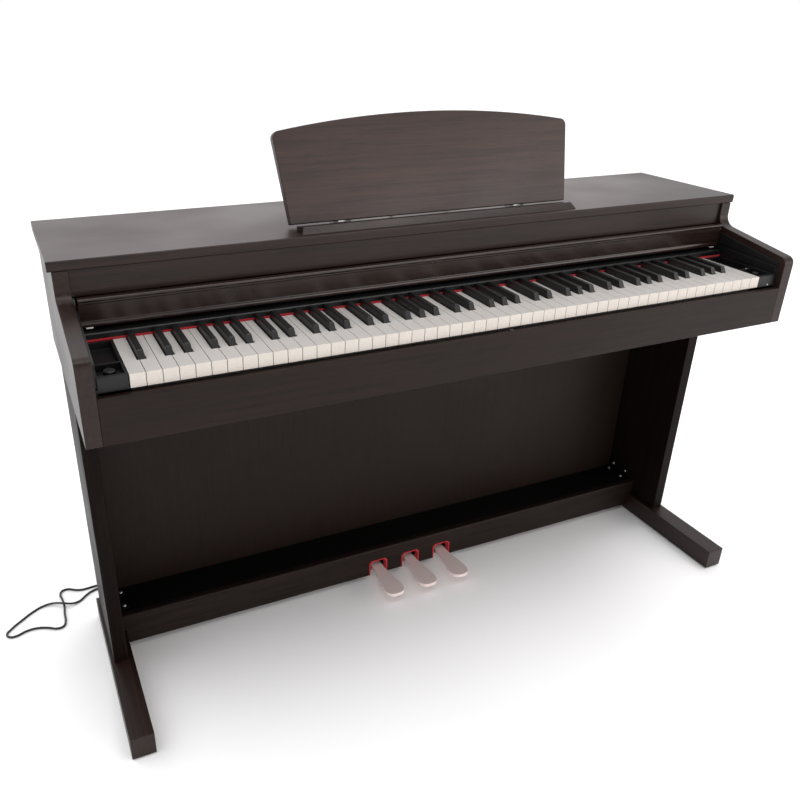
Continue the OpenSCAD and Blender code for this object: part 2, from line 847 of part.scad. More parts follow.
module notch(x, w, h) {
    translate([x, 0, pedal_board_z]) rotate([90, 0, 0]) translate([0, 0, -board_y - pedal_board_t])
        linear_extrude(pedal_board_t)
            polygon([[-w / 2, 0], [w / 2, 0], [w / 2, h - 6], [w / 2 - 6, h], [6 - w / 2, h],
                     [-w / 2, h - 6]]);
}

pedal_places = [-pedal_pitch, 0, pedal_pitch];

module pedal_board_front() {
    corners = [[board_y, pedal_board_z], [board_y + pedal_board_t, pedal_board_z],
               [board_y + pedal_board_t, board_top], [board_y, board_top]];
    color(wood_dark) difference() {
        across(-leg_in, leg_in) polygon(rounded(corners, [0, 0, 0, 4], 4));
        for (x = pedal_places) notch(x, notch_w, notch_h);
        foot_notches();
    }
}

module pedal_felts() {
    color(red_felt) for (x = pedal_places)
        difference() {
            notch(x, notch_w, notch_h);
            translate([0, -1, -1]) notch(x, notch_w - 2 * felt_t, notch_h - felt_t + 1);
            translate([0, 1, -1]) notch(x, notch_w - 2 * felt_t, notch_h - felt_t + 1);
        }
}

module pedal_board_top() {
    color(black) box([-leg_in, board_y + pedal_board_t, board_top - shelf_t - 1],
                     [leg_in, back_y, board_top - 1]);
}

// Steel tray under the board: plate, ears and the three hinge pins
module pedal_chassis() {
    half = pedal_pitch + 60;
    z = pedal_board_z;
    ear_x = pedal_arm_w / 2 + 1;
    color(steel) {
        box([-half, board_y + pedal_board_t, z], [half, back_y, z + chassis_t]);
        for (x = pedal_places) {
            for (s = [-1, 1])
                translate([x + s * (ear_x + ear_t / 2) - ear_t / 2, 0, 0]) {
                    box([0, pedal_pivot_y - 8, z + chassis_t],
                        [ear_t, pedal_pivot_y + 8, pedal_pivot_z + 8]);
                }
            rod(x - ear_x, x + ear_x, pedal_pivot_y, pedal_pivot_z, pedal_pin_r);
        }
    }
}

// A pedal: round-nosed plate that narrows into an arm with a hinge boss
module pedal(x) {
    nose = 21;
    tip = board_y - pedal_reach;
    w = pedal_w / 2;
    front = [for (i = [0:16])
        let (a = 180 + 180 * i / 16)
        [w * sign(cos(a)) * pow(abs(cos(a)), 0.72), tip + nose + nose * sin(a)]];
    outline = concat(front, [[w - 0.8, tip + nose + 12], [pedal_neck_w / 2, board_y - 8],
                             [pedal_neck_w / 2, board_y + 22], [pedal_arm_w / 2, board_y + 30],
                             [pedal_arm_w / 2, pedal_pivot_y], [-pedal_arm_w / 2, pedal_pivot_y],
                             [-pedal_arm_w / 2, board_y + 30], [-pedal_neck_w / 2, board_y + 22],
                             [-pedal_neck_w / 2, board_y - 8], [0.8 - w, tip + nose + 12]]);
    color(rose_brass) translate([x, 0, 0]) difference() {
        union() {
            translate([0, 0, pedal_z]) linear_extrude(pedal_t) polygon(outline);
            rod(-pedal_arm_w / 2, pedal_arm_w / 2, pedal_pivot_y, pedal_pivot_z, pedal_boss_r);
        }
        rod(-pedal_arm_w, pedal_arm_w, pedal_pivot_y, pedal_pivot_z, pedal_pin_r + 0.06);
    }
}

module pedal_left() {
    pedal(-pedal_pitch);
}

module pedal_middle() {
    pedal(0);
}

module pedal_right() {
    pedal(pedal_pitch);
}

// Four angle brackets that tie the shelf to the legs, each with its screw heads
module stand_bracket(y) {
    z = board_top - 1;
    t = 2.5;
    arm = 24;
    box([-leg_in, y, z], [-leg_in + t, y + 18, z + arm]);
    box([-leg_in + t, y, z], [-leg_in + arm, y + 18, z + t]);
    translate([-leg_in + 15, y + 9, z + t]) cylinder(r1 = 4, r2 = 2.6, h = 1.6);
    translate([-leg_in + t, y + 9, z + 15]) rotate([0, 90, 0]) cylinder(r1 = 4, r2 = 2.6, h = 1.6);
}

module stand_brackets() {
    color(steel) both_sides() {
        stand_bracket(board_y + pedal_board_t + 8);
        stand_bracket(back_y - 26);
    }
}

// ---- power lead ----

// Point on a smooth curve through p, at t from 0 to 1 between point i and the next
function along(p, i, t) =
    let (n = len(p) - 1)
    let (a = p[max(i - 1, 0)], b = p[i], c = p[min(i + 1, n)], d = p[min(i + 2, n)])
    b + 0.5 * t * (c - a + t * (2 * a - 5 * b + 4 * c - d + t * (3 * (b - c) + d - a)));

function smooth_path(p, steps) =
    concat([for (i = [0:len(p) - 2], k = [0:steps - 1]) along(p, i, k / steps)],
           [p[len(p) - 1]]);

// Tube swept along a path, with flat ends
module tube(path, r, sides) {
    n = len(path);
    tangent = [for (i = [0:n - 1]) unit(path[min(i + 1, n - 1)] - path[max(i - 1, 0)])];
    side_of = function (t) unit(cross(t, abs(t[2]) > 0.8 ? [0, 1, 0] : [0, 0, 1]));
    // Each ring's first direction is the last one's, turned no more than the path turns
    frame = function (i, u) i == n ? []
        : let (v = unit(u - (u * tangent[i]) * tangent[i]))
          concat([v], frame(i + 1, v));
    first = frame(0, side_of(tangent[0]));
    rings = [for (i = [0:n - 1], k = [0:sides - 1])
        let (a = 360 * k / sides, v = first[i], w = cross(tangent[i], v))
        path[i] + r * (cos(a) * v + sin(a) * w)];
    walls = [for (i = [0:n - 2], k = [0:sides - 1])
        let (a = i * sides + k, b = i * sides + (k + 1) % sides)
        [a, a + sides, b + sides, b]];
    caps = [[for (k = [0:sides - 1]) k], [for (k = [sides - 1:-1:0]) (n - 1) * sides + k]];
    polyhedron(rings, concat(walls, caps), convexity = 10);
}

module cord_run() {
    color(black) {
        tube(smooth_path(LEAD, 2), cord_r, 8);
        tube(TAIL, cord_r, 8);
    }
}

module cord_coil() {
    color(black) translate([coil_at[0], coil_at[1], 0]) rotate_extrude()
        polygon([[coil_r - cord_d, 0], [coil_r + cord_d, 0], [coil_r + cord_d, cord_d],
                 [coil_r + cord_r + 0.6, 2 * cord_d], [coil_r - cord_r - 0.6, 2 * cord_d],
                 [coil_r - cord_d, cord_d]]);
}

// Barrel plug: metal sleeve in the inlet, moulded grip, tapered relief
module dc_plug() {
    color(black) translate([dc_x, 0, jack_z]) rotate([-90, 0, 0]) {
        translate([0, 0, socket_y]) cylinder(r = 5.2, h = 14);
        translate([0, 0, socket_y + 14]) cylinder(r1 = 5.2, r2 = 3, h = 14);
        difference() {
            translate([0, 0, socket_y - 9]) cylinder(r = 2.75, h = 9);
            translate([0, 0, socket_y - 9.5]) cylinder(r = 1.2, h = 9);
        }
    }
}

// Plug-in power adaptor: block, relief where the lead enters, two round pins
module adaptor() {
    x = adaptor_at[0];
    y = adaptor_at[1];
    corners = [[y - 22, 0], [y + 22, 0], [y + 22, 30], [y - 22, 30]];
    color(black) {
        across(x, x + 70) polygon(rounded(corners, [3, 3, 6, 6], 4));
        translate([x - 16, y, 6.6]) rotate([0, 90, 0]) cylinder(r1 = 3, r2 = 5, h = 16);
    }
    color(steel) for (s = [-1, 1])
        rod(x + 70, x + 89, y + s * 9.5, 15, 2);
}

leg_left();
leg_right();
foot_left();
foot_right();
foot_pads();
back_panel();
pedal_board_front();
pedal_board_top();
pedal_chassis();
pedal_felts();
stand_brackets();
side_panel_left();
side_panel_right();
cheek_plates();
top_board();
fascia_board();
key_slip();
key_bed();
case_back();
key_block_left();
key_block_right();
key_chassis();
contact_board();
control_strip();
felt_strip();
main_board();
speakers();
cover_racks();
music_ledge();
rest_hinges();
jack_plate();
phone_jacks();
dc_inlet();
white_keys(0);  // keys_c
black_keys(1);  // keys_c_sharp
white_keys(2);  // keys_d
black_keys(3);  // keys_d_sharp
white_keys(4);  // keys_e
white_keys(5);  // keys_f
black_keys(6);  // keys_f_sharp
white_keys(7);  // keys_g
black_keys(8);  // keys_g_sharp
white_keys(9);  // keys_a
black_keys(10);  // keys_a_sharp
white_keys(11);  // keys_b
pedal_left();
pedal_middle();
pedal_right();
key_cover();
cover_rail();
cover_shaft();
music_rest();
rest_leaves();
rest_stay();
power_button();
volume_knob();
cord_run();
cord_coil();
dc_plug();
adaptor();
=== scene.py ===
# %% [markdown]
# # A digital piano on its stand
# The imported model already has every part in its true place, so this file only gives the
# parts their edges, fine details and finishes. Everything is in metres, +X is the player's
# right and +Z is up.

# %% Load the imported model
import json
import math

import bmesh
import bpy
from mathutils import Matrix, Vector

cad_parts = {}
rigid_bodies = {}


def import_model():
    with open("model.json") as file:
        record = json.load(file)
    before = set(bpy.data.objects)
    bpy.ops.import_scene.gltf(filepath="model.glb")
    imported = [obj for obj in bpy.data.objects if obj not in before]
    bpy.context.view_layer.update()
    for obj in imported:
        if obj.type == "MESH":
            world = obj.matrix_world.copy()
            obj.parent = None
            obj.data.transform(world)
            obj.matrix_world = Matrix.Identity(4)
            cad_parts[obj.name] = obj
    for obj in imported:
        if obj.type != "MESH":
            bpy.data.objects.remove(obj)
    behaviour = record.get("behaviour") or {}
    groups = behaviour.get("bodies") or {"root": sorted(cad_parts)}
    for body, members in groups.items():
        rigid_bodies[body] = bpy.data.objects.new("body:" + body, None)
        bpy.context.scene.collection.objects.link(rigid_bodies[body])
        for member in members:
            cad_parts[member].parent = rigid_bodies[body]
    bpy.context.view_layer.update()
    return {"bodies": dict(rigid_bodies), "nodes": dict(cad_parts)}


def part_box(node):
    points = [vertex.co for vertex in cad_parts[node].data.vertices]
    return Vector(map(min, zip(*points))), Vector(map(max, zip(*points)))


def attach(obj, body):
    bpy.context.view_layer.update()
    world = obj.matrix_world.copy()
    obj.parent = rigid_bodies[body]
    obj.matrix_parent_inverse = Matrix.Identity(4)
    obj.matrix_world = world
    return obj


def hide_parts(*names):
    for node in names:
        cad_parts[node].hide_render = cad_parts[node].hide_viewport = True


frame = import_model()
nodes = frame["nodes"]
MM = 0.001

# %% [markdown]
# ## The camera
# The camera stands to the left of the player, at about chest height, and looks slightly down.
# Its three directions are written as vectors, because that is easier to check than angles.

# %% Camera
camera_data = bpy.data.cameras.new("camera")
camera_data.sensor_width = 36.0
camera_data.lens = 35.453
camera_data.shift_x = 0.0587
camera_data.shift_y = -0.001
camera_data.clip_end = 50.0
camera = bpy.data.objects.new("camera", camera_data)
bpy.context.scene.collection.objects.link(camera)
bpy.context.scene.camera = camera
look_right = Vector((0.911819, -0.410370, 0.013450))
look_up = Vector((0.169122, 0.405224, 0.898438))
look_back = Vector((-0.374143, -0.816939, 0.438894))
turn = Matrix((look_right, look_up, look_back)).transposed()
camera.matrix_world = Matrix.Translation((-0.7426, -1.2490, 1.1657)) @ turn.to_4x4()
print("camera at", tuple(round(v, 3) for v in camera.matrix_world.translation))

# %% [markdown]
# ## The power lead
# The lead is a thin limp cord from a plug-in adaptor. A curve with a round bevel is the
# natural tool: it keeps one thickness, however it bends. It drops from the socket to the
# floor, lies in a loop beside the left leg, and the spare length is wound behind the case.

# %% Route of the power lead
LEAD = [(-0.560, 0.260, 0.660), (-0.560, 0.271, 0.6585), (-0.561, 0.283, 0.650),
        (-0.563, 0.291, 0.634), (-0.566, 0.295, 0.606), (-0.569, 0.296, 0.550),
        (-0.574, 0.294, 0.460), (-0.579, 0.291, 0.370), (-0.584, 0.288, 0.280),
        (-0.589, 0.285, 0.190), (-0.594, 0.282, 0.110), (-0.599, 0.279, 0.056),
        (-0.605, 0.276, 0.026), (-0.616, 0.272, 0.009), (-0.633, 0.268, 0.003),
        (-0.655, 0.266, 0.0026), (-0.680, 0.267, 0.0024), (-0.696, 0.266, 0.0024),
        (-0.710, 0.266, 0.0024), (-0.724, 0.272, 0.0024), (-0.737, 0.280, 0.0024),
        (-0.749, 0.278, 0.0024), (-0.754, 0.267, 0.0024), (-0.752, 0.250, 0.0024),
        (-0.750, 0.228, 0.0024), (-0.752, 0.198, 0.0024), (-0.753, 0.172, 0.0024),
        (-0.758, 0.160, 0.0024), (-0.771, 0.158, 0.0024), (-0.787, 0.167, 0.0024),
        (-0.807, 0.175, 0.0024), (-0.830, 0.175, 0.0024), (-0.849, 0.168, 0.0024),
        (-0.862, 0.169, 0.0024), (-0.868, 0.180, 0.0024), (-0.859, 0.193, 0.0024),
        (-0.838, 0.212, 0.0024), (-0.814, 0.231, 0.0024), (-0.792, 0.242, 0.0024),
        (-0.772, 0.241, 0.0044), (-0.751, 0.229, 0.0072), (-0.733, 0.224, 0.0044),
        (-0.717, 0.229, 0.0024), (-0.703, 0.242, 0.0024), (-0.688, 0.252, 0.0024),
        (-0.668, 0.256, 0.0024), (-0.646, 0.252, 0.0024), (-0.629, 0.240, 0.0024),
        (-0.6205, 0.219, 0.0024)]
CORD_DIAMETER = 0.0044
COIL_AT = (-0.590, 0.215)
# Turned angle in degrees, radius and height in millimetres, along the winding
WINDING = [(20, 28.6, 2.6), (40, 27.3, 2.6), (320, 27.3, 2.6), (340, 26.6, 2.6),
           (360, 25.3, 2.6), (380, 24.0, 2.6), (400, 22.8, 2.6), (660, 22.8, 2.6),
           (680, 22.8, 3.6), (700, 22.8, 5.0), (720, 22.9, 6.3), (740, 23.5, 6.8),
           (760, 24.9, 6.6), (1000, 25.0, 6.6), (1020, 25.5, 6.6), (1040, 26.5, 6.6),
           (1060, 27.4, 6.6), (1080, 28.2, 6.6), (1100, 28.8, 6.6), (1120, 29.4, 6.6),
           (1160, 29.7, 6.6), (1177, 30.0, 6.6)]


def coil_points():
    """Points every 20 degrees along the winding, from where the lead meets it."""
    points = []
    for (a0, r0, z0), (a1, r1, z1) in zip(WINDING, WINDING[1:]):
        steps = max(1, round((a1 - a0) / 20))
        for i in range(steps):
            t = i / steps
            points.append((a0 + t * (a1 - a0), r0 + t * (r1 - r0), z0 + t * (z1 - z0)))
    points.append(WINDING[-1])
    placed = []
    for angle, radius, z in points:
        a = math.radians(172.5 + angle)
        placed.append((COIL_AT[0] + radius * MM * math.cos(a),
                       COIL_AT[1] + radius * MM * math.sin(a), z * MM))
    return placed


TAIL = [(-0.580, 0.1862, 0.0066), (-0.574, 0.187, 0.0066), (-0.568, 0.187, 0.0066),
        (-0.556, 0.187, 0.0066), (-0.542, 0.187, 0.0066)]
route = LEAD + coil_points() + TAIL

# %% Lead as one curve
# The bevel is one metre and each point's radius scales it down to the lead's own, so that
# the box which Blender reports for the curve fits the lead.
cord_curve = bpy.data.curves.new("power_lead", "CURVE")
cord_curve.dimensions = "3D"
cord_curve.bevel_depth = 1.0
cord_curve.bevel_resolution = 3
cord_curve.resolution_u = 6
cord_curve.use_fill_caps = True
spline = cord_curve.splines.new("BEZIER")
spline.bezier_points.add(len(route) - 1)
for point, place in zip(spline.bezier_points, route):
    point.co = place
    point.radius = CORD_DIAMETER / 2
    point.handle_left_type = point.handle_right_type = "AUTO"
power_lead = bpy.data.objects.new("power_lead", cord_curve)
bpy.context.scene.collection.objects.link(power_lead)
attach(power_lead, "case")
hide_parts("cord_run", "cord_coil")
print("lead points:", len(route))

# %% [markdown]
# ## Helpers for finishes
# Colours are picked as sRGB hex values, which is how a swatch book gives them, and the shader
# wants linear numbers, so one function turns one into the other. A second small function adds
# a node with its settings and its links, which keeps each finish short enough to read.

# %% Colour and node helpers
# Places of the Mix node's sockets, for colours and for plain numbers
FACTOR, COLOUR_A, COLOUR_B, MIXED = 0, 6, 7, 2
NUMBER_A, NUMBER_B = 2, 3


def srgb(code):
    """Linear colour of a hex value such as "3a2e2b"."""
    channels = [int(code[i:i + 2], 16) / 255 for i in (0, 2, 4)]
    return tuple(c / 12.92 if c <= 0.04045 else ((c + 0.055) / 1.055) ** 2.4
                 for c in channels) + (1.0,)


def add_node(tree, kind, settings=None, inputs=None):
    """Adds a shader node; an input is a plain value or another node's output."""
    made = tree.nodes.new("ShaderNode" + kind)
    for name, value in (settings or {}).items():
        setattr(made, name, value)
    for name, value in (inputs or {}).items():
        if isinstance(value, bpy.types.NodeSocket):
            tree.links.new(value, made.inputs[name])
        else:
            made.inputs[name].default_value = value
    return made


def new_finish(name, **shader_values):
    """A material with a Principled shader; returns the material, its tree and shader."""
    material = bpy.data.materials.new(name)
    material.use_nodes = True
    tree = material.node_tree
    shader = tree.nodes["Principled BSDF"]
    for key, value in shader_values.items():
        shader.inputs[key.replace("_", " ")].default_value = value
    return material, tree, shader


# %% [markdown]
# ## Dark wood-grain foil
# The boards are chipboard wrapped in a printed foil with an embossed open-pore grain. A
# solid-wood shader would show too much contrast. Two stretched noises do it: a broad one for
# the printed streaks and a fine one for the pores, which also dents the surface. Each board's
# grain runs along its length, so the same finish is made once for each direction. The copies
# for the legs and the key slip are given darker browns, as painted shade, and the copy for the
# music rest lighter browns, as painted light.

# %% Wood-grain foil
PORE_WIDTH = 0.9 * MM
STREAK_WIDTH = 7 * MM
GRAIN_STRETCH = 0.035


def wood_foil(name, along, dark, light, roughness, ior=1.34):
    """Printed foil whose grain runs along the axis X, Y or Z."""
    material, tree, shader = new_finish(name, IOR=ior)
    stretch = [1.0, 1.0, 1.0]
    stretch["XYZ".index(along)] = GRAIN_STRETCH
    place = add_node(tree, "TexCoord").outputs["Object"]
    grain = add_node(tree, "Mapping", inputs={"Vector": place, "Scale": stretch}).outputs[0]
    streaks = add_node(tree, "TexNoise", inputs={
        "Vector": grain, "Scale": 1 / STREAK_WIDTH, "Detail": 5.0, "Roughness": 0.6,
        "Distortion": 0.3}).outputs[0]
    pores = add_node(tree, "TexNoise", inputs={
        "Vector": grain, "Scale": 1 / PORE_WIDTH, "Detail": 3.0, "Roughness": 0.65}).outputs[0]
    clouds = add_node(tree, "TexNoise", inputs={
        "Vector": place, "Scale": 5.0, "Detail": 2.0}).outputs[0]
    streak_tone = add_node(tree, "MapRange", inputs={
        "Value": streaks, "From Min": 0.3, "From Max": 0.7}).outputs[0]
    tone = add_node(tree, "Mix", {"data_type": "RGBA"}, {
        FACTOR: streak_tone, COLOUR_A: srgb(dark), COLOUR_B: srgb(light)}).outputs[MIXED]
    pore_mask = add_node(tree, "MapRange", inputs={
        "Value": pores, "From Min": 0.36, "From Max": 0.5, "To Min": 0.6,
        "To Max": 1.0}).outputs[0]
    shaded = add_node(tree, "Mix", {"data_type": "RGBA", "blend_type": "MULTIPLY"}, {
        FACTOR: 1.0, COLOUR_A: tone, COLOUR_B: pore_mask}).outputs[MIXED]
    uneven = add_node(tree, "MapRange", inputs={
        "Value": clouds, "From Min": 0.3, "From Max": 0.7, "To Min": roughness - 0.05,
        "To Max": roughness + 0.06}).outputs[0]
    dents = add_node(tree, "Bump", inputs={
        "Strength": 0.2, "Distance": 0.08 * MM, "Height": pore_mask}).outputs[0]
    tree.links.new(shaded, shader.inputs["Base Color"])
    tree.links.new(uneven, shader.inputs["Roughness"])
    tree.links.new(dents, shader.inputs["Normal"])
    return material


DARK_BROWN, WARM_BROWN = "190f0c", "2c1d18"
foil_x = wood_foil("wood_foil_along_x", "X", DARK_BROWN, WARM_BROWN, 0.38)
foil_y = wood_foil("wood_foil_along_y", "Y", DARK_BROWN, WARM_BROWN, 0.38)
# Legs: darker browns than the case foil, painted shade
foil_z_painted_shade = wood_foil("wood_foil_along_z_painted_shade", "Z", "0e0908", "19110d", 0.45, 1.14)
# Key slip: darker browns than the case foil, painted shade
foil_slip_painted_shade = wood_foil("wood_foil_key_slip_painted_shade", "X", "130b08", "22150f", 0.42, 1.26)
# Music rest: lighter browns than the case foil, painted light
foil_rest_painted_light = wood_foil("wood_foil_music_rest_painted_light", "X", "201512", "37251f", 0.4, 1.45)
foil_rail = wood_foil("wood_foil_cover_rail", "X", DARK_BROWN, WARM_BROWN, 0.25, 1.5)
foil_stand = wood_foil("wood_foil_stand_boards", "X", "150e0b", "261b16", 0.45, 1.25)
foil_back = wood_foil("wood_foil_back_panel", "Z", "1a110d", "20150f", 0.5, 1.25)
print("wood-grain foils made")

# %% [markdown]
# ## Black laminate, moulded ABS and rubber
# Moulded ABS has a fine spark-eroded texture that scatters light, so it is drawn as small
# pits in the bump with a slightly uneven roughness. The laminate of the pedal shelf is the
# same idea with a finer, flatter pattern, and rubber is rougher with a cloudy bloom.

# %% Plastics and rubber


def moulded(name, colour, roughness, grain, depth, bloom="2a2a2c", ior=1.5):
    """Plastic or rubber with pits of one grain size and depth, and a faint bloom of dust."""
    material, tree, shader = new_finish(name, IOR=ior)
    place = add_node(tree, "TexCoord").outputs["Object"]
    pits = add_node(tree, "TexNoise", inputs={
        "Vector": place, "Scale": 1 / grain, "Detail": 3.0, "Roughness": 0.6}).outputs[0]
    dust = add_node(tree, "TexNoise", inputs={
        "Vector": place, "Scale": 14.0, "Detail": 4.0}).outputs[0]
    faded = add_node(tree, "MapRange", inputs={
        "Value": dust, "From Min": 0.45, "From Max": 0.8, "To Max": 0.5}).outputs[0]
    tone = add_node(tree, "Mix", {"data_type": "RGBA"}, {
        FACTOR: faded, COLOUR_A: srgb(colour), COLOUR_B: srgb(bloom)}).outputs[MIXED]
    uneven = add_node(tree, "MapRange", inputs={
        "Value": pits, "From Min": 0.3, "From Max": 0.7, "To Min": roughness - 0.06,
        "To Max": roughness + 0.06}).outputs[0]
    dents = add_node(tree, "Bump", inputs={
        "Strength": 0.3, "Distance": depth, "Height": pits}).outputs[0]
    tree.links.new(tone, shader.inputs["Base Color"])
    tree.links.new(uneven, shader.inputs["Roughness"])
    tree.links.new(dents, shader.inputs["Normal"])
    return material


black_abs = moulded("moulded_black_abs", "0b0b0c", 0.42, 0.9 * MM, 0.05 * MM, "1a1a1b", 1.4)
black_laminate = moulded("black_laminate", "070707", 0.5, 2.2 * MM, 0.04 * MM, "110f0e", 1.25)
rubber = moulded("matt_rubber", "121212", 0.75, 1.2 * MM, 0.08 * MM)
cord_pvc = moulded("soft_pvc_sheath", "131314", 0.48, 1.5 * MM, 0.02 * MM)
sharp_abs = moulded("satin_black_key_abs", "0c0b0b", 0.4, 0.8 * MM, 0.02 * MM, "1a1817")
acetal = moulded("natural_acetal", "d9d8d2", 0.4, 1.5 * MM, 0.02 * MM, "c8c6bd")
cone_paper = moulded("pressed_cone_paper", "1b1b1d", 0.8, 1.6 * MM, 0.1 * MM)

# %% [markdown]
# ## White key plastic
# White keys are moulded ABS with a polished top and a slightly creamier, grainy front. One
# material does both: it reads the height of the place on the key, because the front is the
# only face that lies at the very front plane. Both tones are greyed well below the white of
# the plastic: painted shade from the case that overhangs the keys.

# %% White key finish
KEYS_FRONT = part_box("keys_c")[0].y
FRONT_SKIN = 0.45 * MM
white_abs_painted_shade, tree, shader = new_finish("polished_white_key_abs_painted_shade", IOR=1.53, Coat_Weight=0.25,
                                     Coat_Roughness=0.12)
place = add_node(tree, "TexCoord").outputs["Object"]
depth = add_node(tree, "SeparateXYZ", inputs={"Vector": place}).outputs["Y"]
on_front = add_node(tree, "MapRange", inputs={
    "Value": depth, "From Min": KEYS_FRONT + 2 * FRONT_SKIN,
    "From Max": KEYS_FRONT + FRONT_SKIN}).outputs[0]
speckle = add_node(tree, "TexNoise", inputs={
    "Vector": place, "Scale": 1 / (1.6 * MM), "Detail": 4.0, "Roughness": 0.7}).outputs[0]
speckle_tone = add_node(tree, "MapRange", inputs={
    "Value": speckle, "From Min": 0.35, "From Max": 0.65}).outputs[0]
front_tone = add_node(tree, "Mix", {"data_type": "RGBA"}, {
    FACTOR: speckle_tone, COLOUR_A: srgb("c2bcb3"), COLOUR_B: srgb("cfc9c0")}).outputs[MIXED]
# The grey top colour b5b1ad and the greyed cream of the front are painted shade; the plastic
# itself is near white
key_tone_painted_shade = add_node(tree, "Mix", {"data_type": "RGBA"}, {
    FACTOR: on_front, COLOUR_A: srgb("b5b1ad"), COLOUR_B: front_tone}).outputs[MIXED]
key_rough = add_node(tree, "MapRange", inputs={
    "Value": on_front, "To Min": 0.28, "To Max": 0.5}).outputs[0]
grain_height = add_node(tree, "Math", {"operation": "MULTIPLY"},
                        {0: speckle, 1: on_front}).outputs[0]
grain_bump = add_node(tree, "Bump", inputs={
    "Strength": 0.4, "Distance": 0.1 * MM, "Height": grain_height}).outputs[0]
tree.links.new(key_tone_painted_shade, shader.inputs["Base Color"])
tree.links.new(key_rough, shader.inputs["Roughness"])
tree.links.new(grain_bump, shader.inputs["Normal"])

# %% [markdown]
# ## Red felt
# Pressed wool felt has no weave, only short matted fibres. A fine noise gives the fibres,
# and the sheen gives the pale edge that such cloth shows where light grazes it.

# %% Felt
felt, tree, shader = new_finish("pressed_red_felt", Roughness=0.95, Sheen_Weight=0.6,
                                Sheen_Roughness=0.5)
shader.inputs["Sheen Tint"].default_value = srgb("e8808a")
place = add_node(tree, "TexCoord").outputs["Object"]
fibres = add_node(tree, "TexNoise", inputs={
    "Vector": place, "Scale": 1 / (0.8 * MM), "Detail": 5.0, "Roughness": 0.75}).outputs[0]
fibre_tone = add_node(tree, "MapRange", inputs={
    "Value": fibres, "From Min": 0.3, "From Max": 0.7}).outputs[0]
felt_tone = add_node(tree, "Mix", {"data_type": "RGBA"}, {
    FACTOR: fibre_tone, COLOUR_A: srgb("8e0f18"), COLOUR_B: srgb("d42a34")}).outputs[MIXED]
felt_bump = add_node(tree, "Bump", inputs={
    "Strength": 0.6, "Distance": 0.3 * MM, "Height": fibres}).outputs[0]
tree.links.new(felt_tone, shader.inputs["Base Color"])
tree.links.new(felt_bump, shader.inputs["Normal"])

# %% [markdown]
# ## Metals
# Zinc-plated steel is bright with faint spangles of slightly different roughness. The pedals
# are plated in a pale rosy brass and polished along their length, so their scratches are a
# noise that is stretched front to back.

# %% Metals


def plated(name, colour, roughness, cell, stretch, depth, metallic=1.0):
    """Metal with marks of one cell size, drawn out where the stretch is small."""
    material, tree, shader = new_finish(name, Metallic=metallic)
    shader.inputs["Base Color"].default_value = srgb(colour)
    place = add_node(tree, "TexCoord").outputs["Object"]
    spread = add_node(tree, "Mapping", inputs={"Vector": place, "Scale": stretch}).outputs[0]
    marks = add_node(tree, "TexNoise", inputs={
        "Vector": spread, "Scale": 1 / cell, "Detail": 4.0, "Roughness": 0.6}).outputs[0]
    uneven = add_node(tree, "MapRange", inputs={
        "Value": marks, "From Min": 0.3, "From Max": 0.7, "To Min": roughness - 0.07,
        "To Max": roughness + 0.08}).outputs[0]
    dents = add_node(tree, "Bump", inputs={
        "Strength": 0.15, "Distance": depth, "Height": marks}).outputs[0]
    tree.links.new(uneven, shader.inputs["Roughness"])
    tree.links.new(dents, shader.inputs["Normal"])
    return material


zinc_steel = plated("zinc_plated_steel", "c4c5c3", 0.34, 3 * MM, (1, 1, 1), 0.02 * MM)
rose_brass = plated("rosy_brass_plating", "f3e2de", 0.46, 1.2 * MM, (1, 0.05, 1),
                    0.01 * MM, 0.3)
black_steel = plated("blackened_steel", "2b2b2d", 0.45, 2 * MM, (1, 1, 1), 0.02 * MM)
ground_steel = plated("ground_steel_shaft", "b9bbbd", 0.26, 1 * MM, (0.05, 1, 1), 0.01 * MM)

# %% [markdown]
# ## Circuit board
# A solder mask is a thin green varnish over copper tracks. The tracks are drawn as the cell
# edges of a squared pattern, a little lighter than the rest.

# %% Circuit board
circuit, tree, shader = new_finish("green_solder_mask", Roughness=0.35, Coat_Weight=0.4)
place = add_node(tree, "TexCoord").outputs["Object"]
cells = add_node(tree, "TexVoronoi", {"distance": "CHEBYCHEV", "feature": "F1"}, {
    "Vector": place, "Scale": 1 / (9 * MM)}).outputs["Distance"]
tracks = add_node(tree, "MapRange", inputs={
    "Value": cells, "From Min": 0.38, "From Max": 0.42}).outputs[0]
mask_tone = add_node(tree, "Mix", {"data_type": "RGBA"}, {
    FACTOR: tracks, COLOUR_A: srgb("0f4a26"), COLOUR_B: srgb("2b7a45")}).outputs[MIXED]
tree.links.new(mask_tone, shader.inputs["Base Color"])

# %% [markdown]
# ## Edges on the boards
# A board whose edges are perfectly sharp catches no light along them. Each visible part is
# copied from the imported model, its triangles are merged into whole faces, and a Bevel modifier
# rounds what is left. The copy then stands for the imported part. A board with an inner corner is
# one large many-sided face, which would shade unevenly, so a Weighted Normal modifier gives
# each large face its own direction right up to the rounded edge.

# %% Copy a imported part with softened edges
SHARP = math.radians(28)


def softened(node, body, material, width, segments=2, name=None):
    """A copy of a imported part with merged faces, rounded edges and a finish."""
    bm = bmesh.new()
    bm.from_mesh(nodes[node].data)
    bmesh.ops.remove_doubles(bm, verts=bm.verts, dist=0.004 * MM)
    bmesh.ops.dissolve_limit(bm, angle_limit=math.radians(0.4), verts=bm.verts,
                             edges=bm.edges)
    mesh = bpy.data.meshes.new(name or node + "_finished")
    bm.to_mesh(mesh)
    bm.free()
    mesh.materials.clear()
    mesh.materials.append(material)
    mesh.shade_smooth()
    piece = bpy.data.objects.new(mesh.name, mesh)
    bpy.context.scene.collection.objects.link(piece)
    if width:
        bevel = piece.modifiers.new("edges", "BEVEL")
        bevel.width = width
        bevel.segments = segments
        bevel.limit_method = "ANGLE"
        bevel.angle_limit = SHARP
        bevel.use_clamp_overlap = True
        flat = piece.modifiers.new("flat faces", "WEIGHTED_NORMAL")
        flat.mode = "FACE_AREA"
        flat.weight = 100
    else:
        mesh.set_sharp_from_angle(angle=SHARP)
    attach(piece, body)
    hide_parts(node)
    return piece
